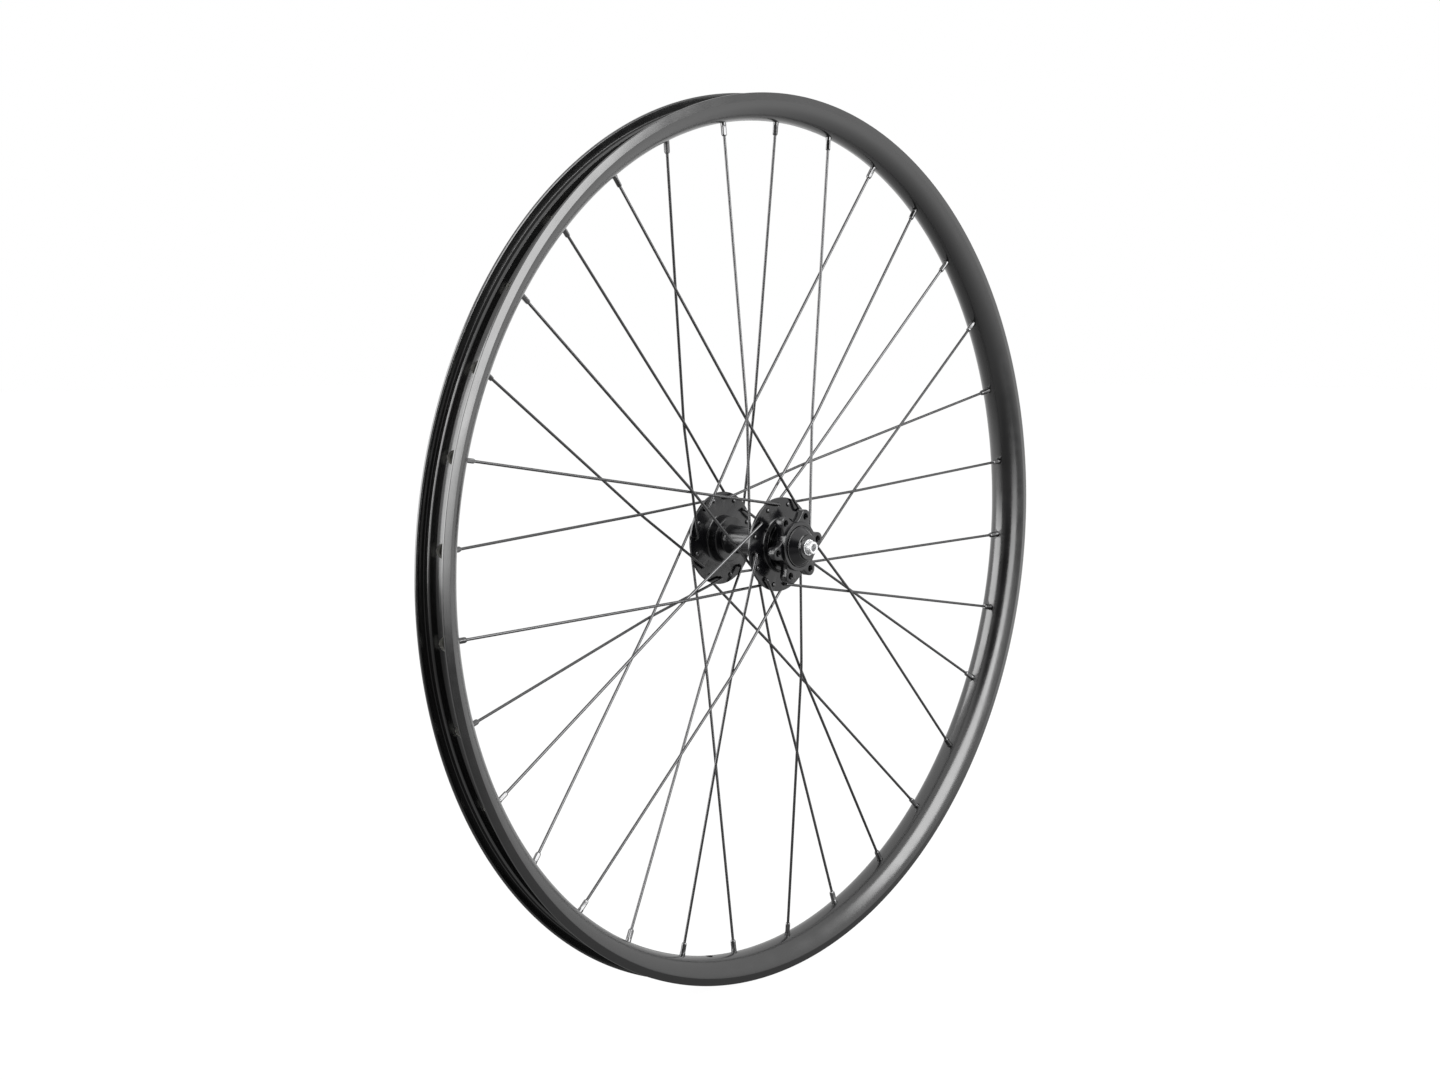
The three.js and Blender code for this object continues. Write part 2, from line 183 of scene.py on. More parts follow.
# ---------------------------------------------------------------- hub shell
# One aluminium turning with two spoke flanges, a waisted barrel and a bearing housing at each end. The
# brake end is milled into a six-armed star for the rotor bolts. All of it is anodised gloss black.
MM = 0.001
SPOKES = 32
PITCH = math.tau / SPOKES
FIRST_SPOKE = math.radians(108.06)
SPOKE_CIRCLE = 29.0
FLANGE_PLAIN = 32.9
FLANGE_BRAKE = -22.4
HOLE_LEAD = 6 * PITCH  # three crossings put a flange hole six pitches from its rim hole
LACING = ((FLANGE_PLAIN, 1), (FLANGE_BRAKE, 1), (FLANGE_PLAIN, -1), (FLANGE_BRAKE, -1))


def polar(radius, angle, y):
    """A place at a radius and angle about the axle, in millimetres turned into metres."""
    return Vector((radius * math.cos(angle), y, radius * math.sin(angle))) * MM


def rounded(corners, steps=4):
    """A closed outline with each corner (radius, y, rounding) eased into a small arc."""
    path = []
    for number, (r, y, ease) in enumerate(corners):
        here = Vector((r, y))
        if ease == 0:
            path.append(here)
            continue
        before = Vector(corners[number - 1][:2]) - here
        after = Vector(corners[(number + 1) % len(corners)][:2]) - here
        half = before.angle(after) / 2
        reach = min(ease / math.tan(half), before.length * 0.45, after.length * 0.45)
        start = here + before.normalized() * reach
        end = here + after.normalized() * reach
        for step in range(steps + 1):
            t = step / steps
            path.append(start * (1 - t) ** 2 + here * 2 * t * (1 - t) + end * t**2)
    return [(point.x, point.y) for point in path]


def curved(start, *controls, steps=6):
    """Points along a Bezier curve of the second or third order, without its first point."""
    points = [Vector(start)] + [Vector(c) for c in controls]
    path = []
    for step in range(1, steps + 1):
        layer = points
        while len(layer) > 1:
            layer = [a.lerp(b, step / steps) for a, b in zip(layer, layer[1:])]
        path.append((layer[0].x, layer[0].y, 0))
    return path


def outline_piece(name, *outlines):
    """An object that holds closed outlines in millimetres as loops of edges, ready for the lathe."""
    places, edges = [], []
    for outline in outlines:
        first = len(places)
        places += [(r * MM, y * MM, 0) for r, y in outline]
        edges += [(first + n, first + (n + 1) % len(outline)) for n in range(len(outline))]
    mesh = bpy.data.meshes.new(name)
    mesh.from_pydata(places, edges, [])
    piece = bpy.data.objects.new(name, mesh)
    scene.collection.objects.link(piece)
    return piece


def new_tree(title, **sizes):
    """An empty tree with a geometry socket each way, the named sizes, and the finish it is given."""
    tree = bpy.data.node_groups.new(title, "GeometryNodeTree")
    tree.interface.new_socket("Geometry", in_out="INPUT", socket_type="NodeSocketGeometry")
    for label, kind in {**sizes, "Finish": "Material"}.items():
        tree.interface.new_socket(label, in_out="INPUT", socket_type="NodeSocket" + kind)
    tree.interface.new_socket("Geometry", in_out="OUTPUT", socket_type="NodeSocketGeometry")
    return tree, tree.nodes.new("NodeGroupInput").outputs


def close_tree(tree, sizes, geometry):
    """The end of every tree: real geometry with the finish on it."""
    real = put(tree, "GeometryNodeRealizeInstances", {"Geometry": geometry})[0]
    coated = put(
        tree, "GeometryNodeSetMaterial", {"Geometry": real, "Material": sizes["Finish"]}
    )[0]
    end = tree.nodes.new("NodeGroupOutput")
    tree.links.new(coated, end.inputs[0])


# The lathe sweeps an outline once round the axle.
lathe, sizes = new_tree("lathe", Ring_Radius="Float", Steps_Round="Int")
inward = put(
    lathe,
    "ShaderNodeMath",
    {0: sizes["Ring_Radius"], 1: -1.0},
    operation="MULTIPLY",
)[0]
shift = put(lathe, "ShaderNodeCombineXYZ", {"X": inward})[0]
moved = put(lathe, "GeometryNodeSetPosition", {"Geometry": sizes["Geometry"], "Offset": shift})[0]
loops = put(lathe, "GeometryNodeMeshToCurve", {"Mesh": moved})[0]
ring = put(
    lathe,
    "GeometryNodeCurvePrimitiveCircle",
    {"Resolution": sizes["Steps_Round"], "Radius": sizes["Ring_Radius"]},
)[0]
swept = put(lathe, "GeometryNodeCurveToMesh", {"Curve": ring, "Profile Curve": loops})[0]
upright = put(
    lathe,
    "GeometryNodeTransform",
    {"Geometry": swept, "Rotation": (math.pi / 2, 0, 0)},
)[0]
close_tree(lathe, sizes, upright)

# Copies of a piece are set evenly round the axle.
round_axle, sizes = new_tree("round_axle", Copies="Int", Pitch="Float")
marks = put(round_axle, "GeometryNodePoints", {"Count": sizes["Copies"]})[0]
number = put(round_axle, "GeometryNodeInputIndex", {})[0]
angle = put(
    round_axle, "ShaderNodeMath", {0: number, 1: sizes["Pitch"]}, operation="MULTIPLY"
)[0]
turn = put(round_axle, "FunctionNodeAxisAngleToRotation", {"Axis": (0, 1, 0), "Angle": angle})[0]
copies = put(
    round_axle,
    "GeometryNodeInstanceOnPoints",
    {"Points": marks, "Instance": sizes["Geometry"], "Rotation": turn},
)[0]
close_tree(round_axle, sizes, copies)


# A cutter or a second lump of metal, taken away from a piece or joined to it.
def joining_tree(title, operation):
    tree, sizes = new_tree(title, Other="Object")
    other = put(tree, "GeometryNodeObjectInfo", {"Object": sizes["Other"]})
    made = put(
        tree,
        "GeometryNodeMeshBoolean",
        {},
        operation=operation,
        solver="MANIFOLD",
    )
    boolean = made[0].node
    if operation == "DIFFERENCE":
        tree.links.new(sizes["Geometry"], boolean.inputs["Mesh 1"])
    else:
        tree.links.new(sizes["Geometry"], boolean.inputs["Mesh 2"])
    tree.links.new(other["Geometry"], boolean.inputs["Mesh 2"])
    close_tree(tree, sizes, made[0])
    return tree


drill_away = joining_tree("drill_away", "DIFFERENCE")
weld_on = joining_tree("weld_on", "UNION")


def work(piece, tree, **sizes):
    """Runs a tree on a piece and keeps what it makes as a plain mesh."""
    step = piece.modifiers.new(tree.name, "NODES")
    step.node_group = tree
    for item in tree.interface.items_tree:
        if item.in_out == "INPUT" and item.name in sizes:
            step[item.identifier] = sizes[item.name]
    looked_at = bpy.context.evaluated_depsgraph_get()
    made = bpy.data.meshes.new_from_object(piece.evaluated_get(looked_at), depsgraph=looked_at)
    piece.modifiers.clear()
    piece.data = made
    made.materials.clear()
    made.materials.append(sizes["Finish"])
    made.polygons.foreach_set("material_index", [0] * len(made.polygons))
    return piece


def solid_piece(name, places, faces):
    """An object from places in metres and faces, with every face turned outwards."""
    mesh = bpy.data.meshes.new(name)
    mesh.from_pydata(places, [], faces)
    shell = bmesh.new()
    shell.from_mesh(mesh)
    bmesh.ops.recalc_face_normals(shell, faces=shell.faces)
    if shell.calc_volume(signed=True) < 0:
        bmesh.ops.reverse_faces(shell, faces=shell.faces)
    shell.to_mesh(mesh)
    shell.free()
    piece = bpy.data.objects.new(name, mesh)
    scene.collection.objects.link(piece)
    return piece


def stacked(name, rings, close=True):
    """A solid from rings of equal numbers of places, joined one to the next and capped."""
    count = len(rings[0])
    places = [place for one in rings for place in one]
    faces = []
    for level in range(len(rings) - 1):
        for n in range(count):
            low, high = level * count, (level + 1) * count
            faces.append((low + n, low + (n + 1) % count, high + (n + 1) % count, high + n))
    if close:
        faces.append(tuple(range(count - 1, -1, -1)))
        faces.append(tuple((len(rings) - 1) * count + n for n in range(count)))
    return solid_piece(name, places, faces)


def round_bar(name, start, along, stations, sides):
    """A round bar or cutter; each station is (distance along, radius) in millimetres."""
    turn = along.to_track_quat("Z", "Y").to_matrix()
    rings = []
    for reach, radius in stations:
        rings.append(
            [
                start
                + turn
                @ Vector(
                    (
                        radius * MM * math.cos(n * math.tau / sides),
                        radius * MM * math.sin(n * math.tau / sides),
                        reach * MM,
                    )
                )
                for n in range(sides)
            ]
        )
    return stacked(name, rings)


def join_pieces(name, pieces):
    """Several helper pieces as one object."""
    both = bmesh.new()
    for piece in pieces:
        both.from_mesh(piece.data)
        bpy.data.objects.remove(piece)
    mesh = bpy.data.meshes.new(name)
    both.to_mesh(mesh)
    both.free()
    joined = bpy.data.objects.new(name, mesh)
    scene.collection.objects.link(joined)
    return joined


def put_away(piece):
    """Removes a cutter that has done its work."""
    bpy.data.objects.remove(piece)


def smooth(piece, degrees):
    """Smooth shading that stays crisp at edges sharper than this."""
    piece.data.shade_smooth()
    piece.data.set_sharp_from_angle(angle=math.radians(degrees))


def uneven_gloss(tree, surface, scale, detail, low, high):
    """Roughness that drifts between two values in small clouds; gives back the clouds."""
    place = put(tree, "ShaderNodeTexCoord", {})["Object"]
    clouds = put(tree, "ShaderNodeTexNoise", {"Vector": place, "Scale": scale, "Detail": detail})["Fac"]
    tree.links.new(mapped(tree, clouds, 0.3, 0.7, low, high), surface.inputs["Roughness"])
    return clouds


def fine_relief(tree, surface, height, strength, depth):
    """Hills and valleys far too small to model, which only bend the gloss."""
    relief = put(tree, "ShaderNodeBump", {"Strength": strength, "Distance": depth, "Height": height})
    tree.links.new(relief["Normal"], surface.inputs["Normal"])


# Gloss anodising over turned aluminium: a deep black with the faint rings of the lathe tool under it.
hub_gloss, tree, surface = finish_of("hub_gloss", (0.004, 0.004, 0.005), 0.17, 0.0)
surface.inputs["IOR"].default_value = 1.72
uneven_gloss(tree, surface, 240.0, 4.0, 0.15, 0.2)
axes = put(tree, "ShaderNodeSeparateXYZ", {"Vector": put(tree, "ShaderNodeTexCoord", {})["Object"]})
square_x = put(tree, "ShaderNodeMath", {0: axes["X"], 1: axes["X"]}, operation="MULTIPLY")[0]
from_axle = put(
    tree, "ShaderNodeMath", {0: axes["Z"], 1: axes["Z"], 2: square_x}, operation="MULTIPLY_ADD"
)[0]
from_axle = put(tree, "ShaderNodeMath", {0: from_axle}, operation="SQRT")[0]
tool_path = put(tree, "ShaderNodeMath", {0: from_axle, 1: axes["Y"]}, operation="ADD")[0]
tool_path = put(tree, "ShaderNodeMath", {0: tool_path, 1: 18000.0}, operation="MULTIPLY")[0]
tool_rings = put(tree, "ShaderNodeMath", {0: tool_path}, operation="SINE")[0]
fine_relief(tree, surface, tool_rings, 0.05, 0.00002)

shell_outline = [
    (14.9, -41.6, 0.15),
    (17.2, -41.6, 0.2),
    (17.47, -41.2, 0.2),
    (17.47, -34.4, 0.2),
    (15.6, -33.0, 1.0),
    (15.6, -26.6, 0.5),
    (18.4, -26.2, 0.4),
    (18.7, -27.7, 0.25),
    (19.3, -27.7, 0.25),
    *curved((19.3, -25.0), (19.35, -24.1), (20.4, -24.0), steps=6),
    (33.5, -23.3, 0.3),
    (33.5, -21.5, 0.3),
    (25, -20.9, 0),
    *curved((25, -20.9), (13, -20.0), (11.6, -10), steps=10),
    *curved((11.6, -10), (9.4, 0), (9.4, 8), (10.4, 22.6), steps=12),
    (10.6, 23.0, 0.3),
    (15.9, 23.1, 0.6),
    (16.4, 24.0, 0.3),
    (16.6, 30.2, 0),
    *curved((16.6, 30.2), (16.7, 31.4), (18.2, 31.5), steps=6),
    (33.5, 32.0, 0.3),
    (33.5, 33.8, 0.3),
    (25, 34.4, 0),
    *curved((25, 34.4), (17.4, 35.4), (16.8, 41.0), steps=8),
    (16.3, 41.6, 0.15),
    (14.9, 41.6, 0.15),
    (14.9, 40.4, 0),
    (13.1, 40.4, 0.2),
    (13.1, 31.8, 0),
    (11.6, 31.8, 0),
    (7.4, 26, 0),
    (7.4, -26, 0),
    (11.6, -31.8, 0),
    (13.1, -31.8, 0),
    (13.1, -40.4, 0.2),
    (14.9, -40.4, 0),
]
hub = outline_piece("hub_shell_turned", rounded(shell_outline))
work(hub, lathe, Ring_Radius=0.02, Steps_Round=160, Finish=hub_gloss)

ARMS = 6
ARM_PITCH = math.tau / ARMS
FIRST_ARM = math.radians(128.2)
BOLT_CIRCLE = 22.0
ROTOR_FACE = -39.6
ARM_DEPTH = 6.2
ARM_ROUND = 4.9
STAR_ROOT = 17.3


def star_outline(inset):
    """Six arms with round ends, flared at the root into the register; `inset` shrinks the outline."""
    root = STAR_ROOT - inset
    tip = ARM_ROUND - inset
    valley_turn = ARM_PITCH / 2 * 0.94
    valley = Vector((root * math.cos(valley_turn), root * math.sin(valley_turn)))
    knee = Vector((root * 0.96, tip + (2.4 + inset) * 0.55))
    flank = Vector((root + 3.0, tip + 0.35))
    one_arm = []
    for step in range(7):
        t = step / 6
        point = valley * (1 - t) ** 2 + knee * 2 * t * (1 - t) + flank * t**2
        one_arm.append((point.x, point.y))
    for step in range(13):
        turn = math.pi / 2 - step * math.pi / 12
        one_arm.append((BOLT_CIRCLE + tip * math.cos(turn), tip * math.sin(turn)))
    one_arm += [(x, -y) for x, y in reversed(one_arm[:7])]
    path = []
    for arm in range(ARMS):
        middle = FIRST_ARM - arm * ARM_PITCH
        for x, y in one_arm:
            path.append((math.hypot(x, y), middle + math.atan2(y, x)))
    return path


edge_ease = 0.35
levels = (
    (ROTOR_FACE, edge_ease),
    (ROTOR_FACE + 0.08, edge_ease * 0.5),
    (ROTOR_FACE + 0.2, edge_ease * 0.15),
    (ROTOR_FACE + edge_ease, 0),
    (ROTOR_FACE + ARM_DEPTH - 0.7, 0),
    (ROTOR_FACE + ARM_DEPTH - 0.3, 0.2),
    (ROTOR_FACE + ARM_DEPTH, 0.7),
)
star = stacked(
    "rotor_star",
    [[polar(r, turn, y) for r, turn in star_outline(inset)] for y, inset in levels],
)
work(hub, weld_on, Other=star, Finish=hub_gloss)
put_away(star)

drills = []
along_axle = Vector((0, 1, 0))
for arm in range(ARMS):
    start = polar(BOLT_CIRCLE, FIRST_ARM - arm * ARM_PITCH, ROTOR_FACE)
    thread = [(-1, 2.6), (0, 2.6), (0.45, 2.15)]
    for groove in range(6):
        thread += [(0.8 + groove * 0.8, 2.35), (1.2 + groove * 0.8, 2.1)]
    thread += [(7.2, 2.1)]
    drills.append(round_bar(f"bolt_drill_{arm}", start, along_axle, thread, 24))
for spoke in range(SPOKES):
    flange, lead = LACING[spoke % 4]
    start = polar(SPOKE_CIRCLE, FIRST_SPOKE - spoke * PITCH + lead * HOLE_LEAD, flange)
    bore = [(-3, 1.9), (-1.4, 1.9), (-0.95, 1.3), (0.95, 1.3), (1.4, 1.9), (3, 1.9)]
    drills.append(round_bar(f"spoke_drill_{spoke}", start, along_axle, bore, 16))
hub_drills = join_pieces("hub_drills", drills)
work(hub, drill_away, Other=hub_drills, Finish=hub_gloss)
put_away(hub_drills)
hub.name = "hub_shell_machined"
smooth(hub, 32)
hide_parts("hub_shell")
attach(hub, "wheel")

# ---------------------------------------------------------------- spokes
# Drawn stainless wire, coated black, 2 mm thick, with a forged head. Each goes through its flange, turns
# through the elbow and runs to its rim hole, and the outer spoke of a pair passes under the inner one.
WIRE = 1.0
BED = 297.6
STAGGER = 0.7
ELBOW = 3.9
ELBOW_BEND = 2.6
CROSSING_ANGLE = PITCH
CROSSING = (SPOKE_CIRCLE * BED * math.sin(HOLE_LEAD)) / (
    SPOKE_CIRCLE * math.sin(HOLE_LEAD - CROSSING_ANGLE) + BED * math.sin(CROSSING_ANGLE)
)


def rim_end(flange, lead):
    """The crossing, the rim hole and the way a spoke points through it, for a spoke at angle 0."""
    side = math.copysign(1, flange)
    share = (BED - CROSSING) / (BED - SPOKE_CIRCLE)
    between = side * (abs(flange) * share + STAGGER * (1 - share))
    crossing = polar(CROSSING, lead * CROSSING_ANGLE, between + side * lead * (WIRE + 0.06))
    seat = polar(BED, 0, side * STAGGER)
    return crossing, seat, (seat - crossing).normalized()


def spoke_line(flange, lead):
    """Places along one spoke's middle line, from its head to inside its nipple."""
    crossing, seat, aim = rim_end(flange, lead)
    outward = math.copysign(1, flange) * -lead
    shank = Vector((0, outward, 0))
    elbow = polar(SPOKE_CIRCLE, lead * HOLE_LEAD, flange + outward * ELBOW)
    run = (crossing - elbow).normalized()
    line = [elbow - shank * (ELBOW + 1.5) * MM]
    bend_from = elbow - shank * ELBOW_BEND * MM
    bend_to = elbow + run * ELBOW_BEND * MM
    for step in range(9):
        t = step / 8
        line.append(bend_from * (1 - t) ** 2 + elbow * 2 * t * (1 - t) + bend_to * t**2)
    weave = 6 * MM
    for step in range(7):
        t = step / 6
        eased = (crossing - run * weave) * (1 - t) ** 2 + crossing * 2 * t * (1 - t)
        line.append(eased + (crossing + aim * weave) * t**2)
    line.append(seat - aim * 4 * MM)
    return line


# The coat over the wire: dark, with a metal glint and a fine speckle.
spoke_coat, tree, surface = finish_of("spoke_coat", (0.13, 0.13, 0.132), 0.26, 1.0)
speckle = uneven_gloss(tree, surface, 700.0, 3.0, 0.2, 0.34)
fine_relief(tree, surface, speckle, 0.15, 0.00003)

# Wire drawn along each line, with a forged head at its first end.
wire_tree, sizes = new_tree("wire", Wire_Radius="Float", Sides="Int", Head="Object")
lines = put(wire_tree, "GeometryNodeMeshToCurve", {"Mesh": sizes["Geometry"]})[0]
section = put(
    wire_tree,
    "GeometryNodeCurvePrimitiveCircle",
    {"Resolution": sizes["Sides"], "Radius": sizes["Wire_Radius"]},
)[0]
drawn = put(
    wire_tree,
    "GeometryNodeCurveToMesh",
    {"Curve": lines, "Profile Curve": section, "Fill Caps": True},
)[0]
first_end = put(wire_tree, "GeometryNodeCurveEndpointSelection", {"Start Size": 1, "End Size": 0})[0]
forward = put(wire_tree, "GeometryNodeInputTangent", {})[0]
facing = put(wire_tree, "FunctionNodeAlignRotationToVector", {"Vector": forward}, axis="Z")[0]
forged = put(wire_tree, "GeometryNodeObjectInfo", {"Object": sizes["Head"]})["Geometry"]
heads = put(
    wire_tree,
    "GeometryNodeInstanceOnPoints",
    {"Points": lines, "Selection": first_end, "Instance": forged, "Rotation": facing},
)[0]
together = wire_tree.nodes.new("GeometryNodeJoinGeometry")
wire_tree.links.new(drawn, together.inputs[0])
wire_tree.links.new(heads, together.inputs[0])
close_tree(wire_tree, sizes, together.outputs[0])

forged_head = round_bar(
    "forged_head",
    Vector((0, 0, 0)),
    Vector((0, 0, 1)),
    [
        (-0.75, 0.35),
        (-0.72, 0.8),
        (-0.55, 1.3),
        (-0.2, 1.65),
        (0.1, 1.75),
        (0.3, 1.7),
        (0.42, 1.3),
        (0.6, 1.02),
    ],
    16,
)
places, edges = [], []
for kind, (flange, lead) in enumerate(LACING):
    turn = Matrix.Rotation(-(FIRST_SPOKE - kind * PITCH), 3, "Y")
    line = [turn @ point for point in spoke_line(flange, lead)]
    edges += [(len(places) + n, len(places) + n + 1) for n in range(len(line) - 1)]
    places += line
lines_mesh = bpy.data.meshes.new("spoke_lines")
lines_mesh.from_pydata(places, edges, [])
spokes = bpy.data.objects.new("spokes_laced", lines_mesh)
scene.collection.objects.link(spokes)
work(
    spokes,
    wire_tree,
    Wire_Radius=WIRE * MM,
    Sides=12,
    Head=forged_head,
    Finish=spoke_coat,
)
put_away(forged_head)
work(spokes, round_axle, Copies=8, Pitch=4 * PITCH, Finish=spoke_coat)
smooth(spokes, 40)
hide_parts(*[f"spoke_{n + 1:02d}" for n in range(SPOKES)])
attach(spokes, "wheel")

# ---------------------------------------------------------------- rim
# A hollow aluminium extrusion with a tyre well, straight lips and a rounded spoke bed, rolled to a ring,
# drilled for the nipples, for the tool that turns them and for the valve, then anodised satin black.
WELL = 305.0
half_rim = [
    *curved((WELL, 0), (WELL, 2.2), (WELL + 0.9, 4.2), steps=6),
    (306.1, 4.9, 0.3),
    (310.5, 5.6, 0.3),
    (310.9, 6.0, 0.3),
    (311.35, 7.4, 0.4),
    (310.7, 8.3, 0.6),
    (310.9, 11.15, 0.7),
    (314.6, 11.2, 0.5),
    (316.2, 11.25, 0.6),
    (317.0, 11.7, 0.3),
    (316.95, 13.15, 0.3),
    (311.6, 14.3, 0.25),
    *curved((311.6, 14.3), (306.0, 13.1), (300.6, 10.0), (298.75, 4.9), steps=16),
    (298.3, 3.6, 0),
]
whole_rim = [(WELL, 0, 0), *half_rim, (BED, 0, 0), *[(r, -y, ease) for r, y, ease in reversed(half_rim)]]
half_hollow = [(303.4, 5.4, 0.6), (309.3, 8.0, 0.6), (309.4, 12.2, 0.6), (303.4, 9.3, 1.5), (300.3, 3.4, 1.5)]
whole_hollow = [*half_hollow, *[(r, -y, ease) for r, y, ease in reversed(half_hollow)]]
rim = outline_piece("rim_extrusion", rounded(whole_rim), list(reversed(rounded(whole_hollow))))

rim_satin, tree, surface = finish_of("rim_satin", (0.006, 0.006, 0.0062), 0.22, 0.0)
surface.inputs["IOR"].default_value = 1.95
uneven_gloss(tree, surface, 60.0, 5.0, 0.18, 0.26)
place = put(tree, "ShaderNodeTexCoord", {})["Object"]
blasting = put(tree, "ShaderNodeTexNoise", {"Vector": place, "Scale": 2200.0, "Detail": 2.0})["Fac"]
fine_relief(tree, surface, blasting, 0.04, 0.00003)

work(rim, lathe, Ring_Radius=WELL * MM, Steps_Round=400, Finish=rim_satin)
drills = []
for kind, (flange, lead) in enumerate(LACING):
    turn = Matrix.Rotation(-(FIRST_SPOKE - kind * PITCH), 3, "Y")
    seat, aim = (turn @ one for one in rim_end(flange, lead)[1:])
    nipple_bore = [(-4, 2.9), (-0.6, 2.9), (0.1, 2.25), (3.6, 2.25)]
    drills.append(round_bar(f"nipple_drill_{kind}", seat, aim, nipple_bore, 24))
    radial = polar(1, FIRST_SPOKE - kind * PITCH, 0).normalized()
    access_bore = [(0, 4.95), (12, 4.95)]
    drills.append(round_bar(f"access_drill_{kind}", radial * 0.3025, radial, access_bore, 40))
rim_drills = join_pieces("rim_drills", drills)
work(rim_drills, round_axle, Copies=8, Pitch=4 * PITCH, Finish=rim_satin)
valve_way = polar(1, FIRST_SPOKE - 18.5 * PITCH, 0).normalized()
valve_bore = [(0, 4.4), (3.2, 4.4), (4.2, 3.25), (20, 3.25)]
valve_drill = round_bar("valve_drill", valve_way * (BED - 4) * MM, valve_way, valve_bore, 40)
all_drills = join_pieces("all_rim_drills", [rim_drills, valve_drill])
work(rim, drill_away, Other=all_drills, Finish=rim_satin)
put_away(all_drills)
smooth(rim, 30)

# Inside the hollow and on the walls of the big holes the black is thin, and the grey alloy shows through.
bare_alloy, tree, surface = finish_of("bare_alloy", (0.6, 0.6, 0.57), 0.5, 0.4)
uneven_gloss(tree, surface, 400.0, 4.0, 0.34, 0.5)
rim.data.materials.append(bare_alloy)
HOLLOW_FROM = 299.9
HOLLOW_TO = 310
ON_OUTLINE = 0.06
outside = [Vector(point) for point in rounded(whole_rim)]
for face in rim.data.polygons:
    middle = Vector((math.hypot(face.center.x, face.center.z), face.center.y)) / MM
    if HOLLOW_FROM < middle.x < HOLLOW_TO:
        for start, end in zip(outside, outside[1:] + outside[:1]):
            near, share = geometry.intersect_point_line(middle, start, end)
            if (near - middle).length < ON_OUTLINE and -0.1 < share < 1.1:
                break
        else:
            face.material_index = 1
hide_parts("rim")
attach(rim, "wheel")

# ---------------------------------------------------------------- nipples
# Turned nuts that pull the spokes tight: a round shank in the rim's bed, a square drive with eased corners
# for the spoke key, and a domed, slotted head inside the rim. Each stands at whatever angle it tightened to.
nipple_stations = (
    (-9.0, 1.12, 9),
    (-9.0, 1.35, 9),
    (-8.75, 1.62, 1.5),
    (-8.1, 1.92, 1.62),
    (-7.4, 2.0, 1.65),
    (-2.3, 2.0, 1.65),
    (-1.9, 2.0, 1.8),
    (-1.5, 2.0, 9),
    (2.6, 2.0, 9),
    (2.7, 2.75, 9),
    (3.4, 2.85, 9),
    (4.1, 2.3, 9),
    (4.4, 1.2, 9),
)
rings = []
for reach, radius, flat in nipple_stations:
    one = []
    for n in range(32):
        turn = (n + 0.5) * math.tau / 32
        across = min(radius, flat / max(abs(math.cos(turn)), abs(math.sin(turn))))
        one.append(Vector((across * math.cos(turn), across * math.sin(turn), reach)) * MM)
    rings.append(one)
nipple = stacked("one_nipple", rings)
slot_cutter = stacked(
    "slot_cutter",
    [
        [Vector((x, y, z)) * MM for x, y in ((-4, -0.45), (4, -0.45), (4, 0.45), (-4, 0.45))]
        for z in (3.4, 6.0)
    ],
)
nipple_black, tree, surface = finish_of("nipple_black", (0.2, 0.2, 0.202), 0.2, 1.0)
uneven_gloss(tree, surface, 900.0, 2.0, 0.18, 0.3)
work(nipple, drill_away, Other=slot_cutter, Finish=nipple_black)
put_away(slot_cutter)
smooth(nipple, 28)

screw_on, sizes = new_tree("screw_on", Nut="Object", Seed="Int")
aims = put(
    screw_on,
    "GeometryNodeInputNamedAttribute",
    {"Name": "aim"},
    data_type="FLOAT_VECTOR",
)["Attribute"]
pointed = put(screw_on, "FunctionNodeAlignRotationToVector", {"Vector": aims}, axis="Z")[0]
chance = put(
    screw_on,
    "FunctionNodeRandomValue",
    {2: 0.0, 3: math.tau, "Seed": sizes["Seed"]},
    data_type="FLOAT",
)[1]
spun = put(screw_on, "FunctionNodeAxisAngleToRotation", {"Axis": (0, 0, 1), "Angle": chance})[0]
turned = put(
    screw_on,
    "FunctionNodeRotateRotation",
    {"Rotation": pointed, "Rotate By": spun},
    rotation_space="LOCAL",
)[0]
nut = put(screw_on, "GeometryNodeObjectInfo", {"Object": sizes["Nut"]})["Geometry"]
nuts = put(
    screw_on,
    "GeometryNodeInstanceOnPoints",
    {"Points": sizes["Geometry"], "Instance": nut, "Rotation": turned},
)[0]
close_tree(screw_on, sizes, nuts)

seats, aims = [], []
for spoke in range(SPOKES):
    turn = Matrix.Rotation(-(FIRST_SPOKE - spoke * PITCH), 3, "Y")
    seat, aim = rim_end(*LACING[spoke % 4])[1:]
    seats.append(turn @ seat)
    aims += list(turn @ aim)
seat_mesh = bpy.data.meshes.new("nipple_seats")
seat_mesh.from_pydata(seats, [], [])
seat_mesh.attributes.new("aim", "FLOAT_VECTOR", "POINT").data.foreach_set("vector", aims)
nipples = bpy.data.objects.new("nipples", seat_mesh)
scene.collection.objects.link(nipples)
work(nipples, screw_on, Nut=nipple, Seed=7, Finish=nipple_black)
put_away(nipple)
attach(nipples, "wheel")

# ---------------------------------------------------------------- bearings
# Two sealed cartridge bearings in the hub's ends: ground steel races and balls, closed by rubber seals.
# The CAD pieces are kept as they are and only take their finishes, because the end caps hide them.
ground_steel, tree, surface = finish_of("ground_steel", (0.55, 0.56, 0.58), 0.2, 1.0)
uneven_gloss(tree, surface, 1200.0, 3.0, 0.14, 0.3)

moulded_rubber, tree, surface = finish_of("moulded_rubber", (0.02, 0.02, 0.02), 0.7, 0.0)
place = put(tree, "ShaderNodeTexCoord", {})["Object"]
grain = put(tree, "ShaderNodeTexNoise", {"Vector": place, "Scale": 1500.0, "Detail": 4.0})["Fac"]
fine_relief(tree, surface, grain, 0.3, 0.00005)

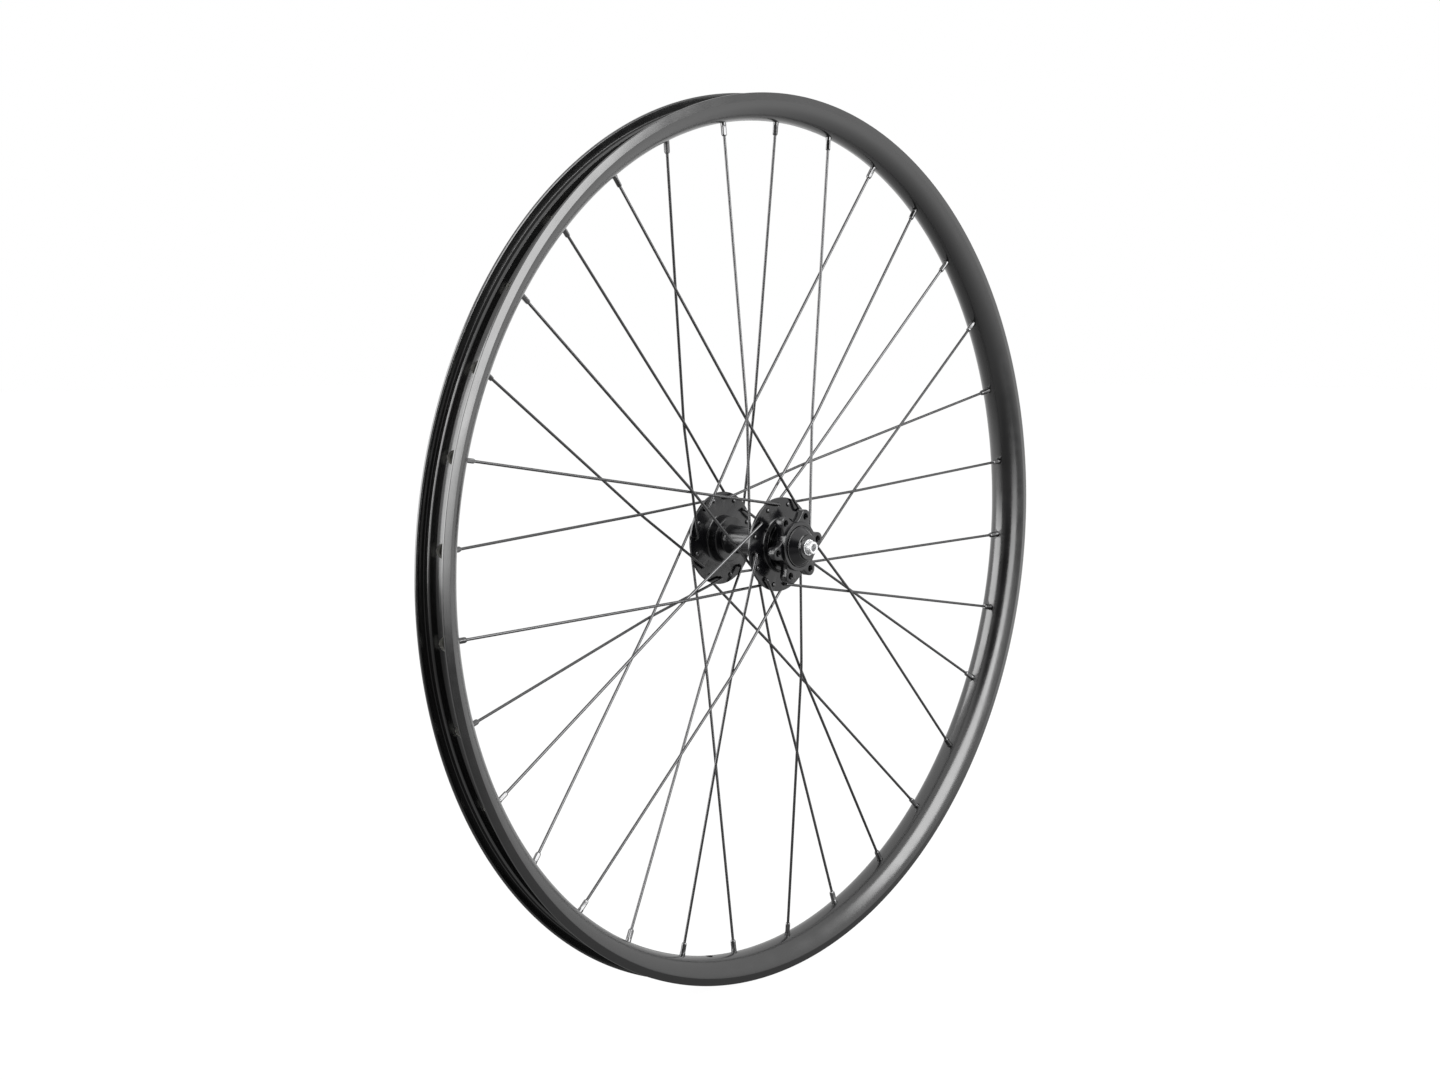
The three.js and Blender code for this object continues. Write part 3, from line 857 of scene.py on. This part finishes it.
for side in ("plain_side", "brake_side"):
    for base, finish in (
        ("bearing_outer_race", ground_steel),
        ("bearing_inner_race", ground_steel),
        ("bearing_balls_and_cage", ground_steel),
        ("bearing_inboard_seal", moulded_rubber),
        ("bearing_outboard_seal", moulded_rubber),
    ):
        node = next(o for o in scene.objects if o.get("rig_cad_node") == f"{base}_{side}")
        node.data.materials.clear()
        node.data.materials.append(finish)

# ---------------------------------------------------------------- axle
# A steel tube through both bearings, bored for the skewer. Its two bright ends stand in the fork's slots.
axle_bright, tree, surface = finish_of("axle_bright", (0.94, 0.945, 0.95), 0.46, 0.85)
uneven_gloss(tree, surface, 300.0, 4.0, 0.4, 0.52)
place = put(tree, "ShaderNodeTexCoord", {})["Object"]
along = put(tree, "ShaderNodeSeparateXYZ", {"Vector": place})["Y"]
cuts = put(tree, "ShaderNodeMath", {0: along, 1: 22000.0}, operation="MULTIPLY")[0]
cuts = put(tree, "ShaderNodeMath", {0: cuts}, operation="SINE")[0]
fine_relief(tree, surface, cuts, 0.2, 0.00002)

half_axle = [
    (6.3, 31.7, 0.2),
    (4.9, 31.7, 0),
    (4.9, 44.6, 0.1),
    (4.5, 45.0, 0.1),
    (4.5, 53.5, 0.15),
    (4.0, 54.0, 0.15),
    (3.0, 54.0, 0.1),
    (2.6, 53.6, 0.1),
]
axle_outline = [*half_axle, *[(r, -y, ease) for r, y, ease in reversed(half_axle)]]
axle = outline_piece("axle_turned", rounded(axle_outline))
work(axle, lathe, Ring_Radius=0.004, Steps_Round=96, Finish=axle_bright)
smooth(axle, 30)
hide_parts("axle")
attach(axle, "axle")

# ---------------------------------------------------------------- end caps
# Turned aluminium caps pushed onto the axle ends. The cone's wide foot shields the bearing, and the hard
# serrated ring pressed into the face bites the fork end, so it stays bright.
RIBS = 40
for side, sign in (("plain_side", 1), ("brake_side", -1)):
    cap_outline = [
        (5.1, 40.2, 0),
        (6.9, 40.2, 0.1),
        (6.9, 41.2, 0.3),
        (13.9, 41.2, 0.1),
        (14.4, 41.6, 0.2),
        (14.4, 42.1, 0.15),
        (13.75, 42.15, 0.1),
        (13.6, 42.5, 0.1),
        (9.5, 47.6, 0.3),
        (8.95, 47.75, 0.1),
        (8.9, 49.0, 0.1),
        (8.6, 49.3, 0.1),
        (6.1, 49.3, 0.1),
        (6.1, 48.3, 0),
        (5.1, 48.3, 0),
    ]
    cap_outline = [(r, y * sign, ease) for r, y, ease in cap_outline][::sign]
    cap = outline_piece(f"end_cap_{side}_turned", rounded(cap_outline))
    work(cap, lathe, Ring_Radius=0.01, Steps_Round=128, Finish=hub_gloss)
    ring_outline = [(4.75, 48.6, 0), (5.8, 48.6, 0), (5.8, 49.7, 0.1), (4.75, 49.7, 0.1)]
    ring_outline = [(r, y * sign, ease) for r, y, ease in ring_outline][::sign]
    face = outline_piece(f"fork_face_{side}", rounded(ring_outline))
    work(face, lathe, Ring_Radius=0.005, Steps_Round=120, Finish=axle_bright)
    tooth = stacked(
        "tooth",
        [
            [polar(5.8, -0.05, 49.5 * sign), polar(5.8, 0.05, 49.5 * sign), polar(5.8, 0.0, 50.0 * sign)],
            [polar(4.8, -0.05, 49.5 * sign), polar(4.8, 0.05, 49.5 * sign), polar(4.8, 0.0, 49.9 * sign)],
        ],
    )
    work(tooth, round_axle, Copies=RIBS, Pitch=math.tau / RIBS, Finish=axle_bright)
    work(face, weld_on, Other=tooth, Finish=axle_bright)
    put_away(tooth)
    for piece in (cap, face):
        shell = bmesh.new()
        shell.from_mesh(piece.data)
        if shell.calc_volume(signed=True) < 0:
            bmesh.ops.reverse_faces(shell, faces=shell.faces)
        shell.to_mesh(piece.data)
        shell.free()
        smooth(piece, 30)
        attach(piece, "axle")
    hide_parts(f"end_cap_{side}")
    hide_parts(f"fork_face_ring_{side}")
